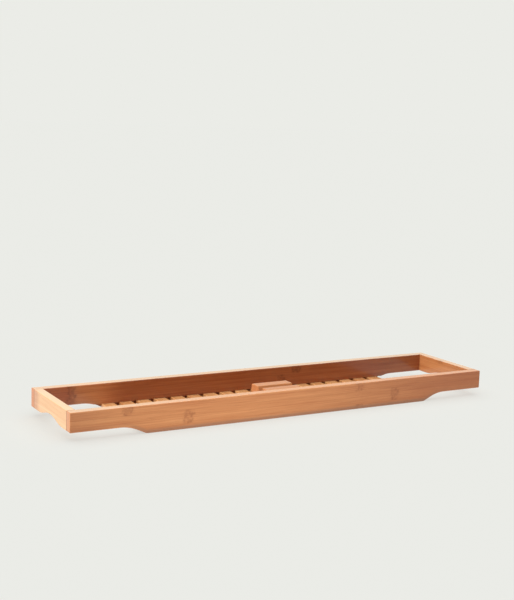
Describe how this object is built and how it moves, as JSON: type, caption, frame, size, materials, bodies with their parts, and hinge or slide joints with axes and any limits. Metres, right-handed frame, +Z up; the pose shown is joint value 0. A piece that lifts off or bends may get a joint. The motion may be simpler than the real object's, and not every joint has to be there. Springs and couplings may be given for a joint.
{
  "type": "bath caddy",
  "caption": "Long shallow bamboo tray that spans a bath tub, with a slatted floor, open grip ends and a leaning slot for a book or screen.",
  "frame": {"origin": "under the middle of the caddy, level with the underside of the deep middle of the rails", "axes": "+X along the rails to the right end, +Y from the front rail to the back rail, +Z up"},
  "size_m": [0.7, 0.155, 0.04],
  "materials": {
    "rail_bamboo": "edge-laminated carbonised bamboo, satin lacquer",
    "end_bamboo": "edge-laminated carbonised bamboo, satin lacquer",
    "slat_bamboo": "single-ply carbonised bamboo strip, satin lacquer",
    "rest_bamboo": "laminated carbonised bamboo block, satin lacquer",
    "dowel_beech": "plain turned beech",
    "zinc_screws": "bright zinc plate"
  },
  "bodies": {
    "root": {"front_rail": "rail_bamboo", "back_rail": "rail_bamboo", "left_end": "end_bamboo", "right_end": "end_bamboo", "book_rest": "rest_bamboo", "corner_dowels": "dowel_beech", "rest_screws": "zinc_screws", "slat_01": "slat_bamboo", "slat_02": "slat_bamboo", "slat_03": "slat_bamboo", "slat_04": "slat_bamboo", "slat_05": "slat_bamboo", "slat_06": "slat_bamboo", "slat_07": "slat_bamboo", "slat_08": "slat_bamboo", "slat_09": "slat_bamboo", "slat_10": "slat_bamboo", "slat_11": "slat_bamboo", "slat_12": "slat_bamboo", "slat_13": "slat_bamboo", "slat_14": "slat_bamboo", "slat_15": "slat_bamboo", "slat_16": "slat_bamboo", "slat_17": "slat_bamboo", "slat_18": "slat_bamboo"}
  },
  "joints": []
}
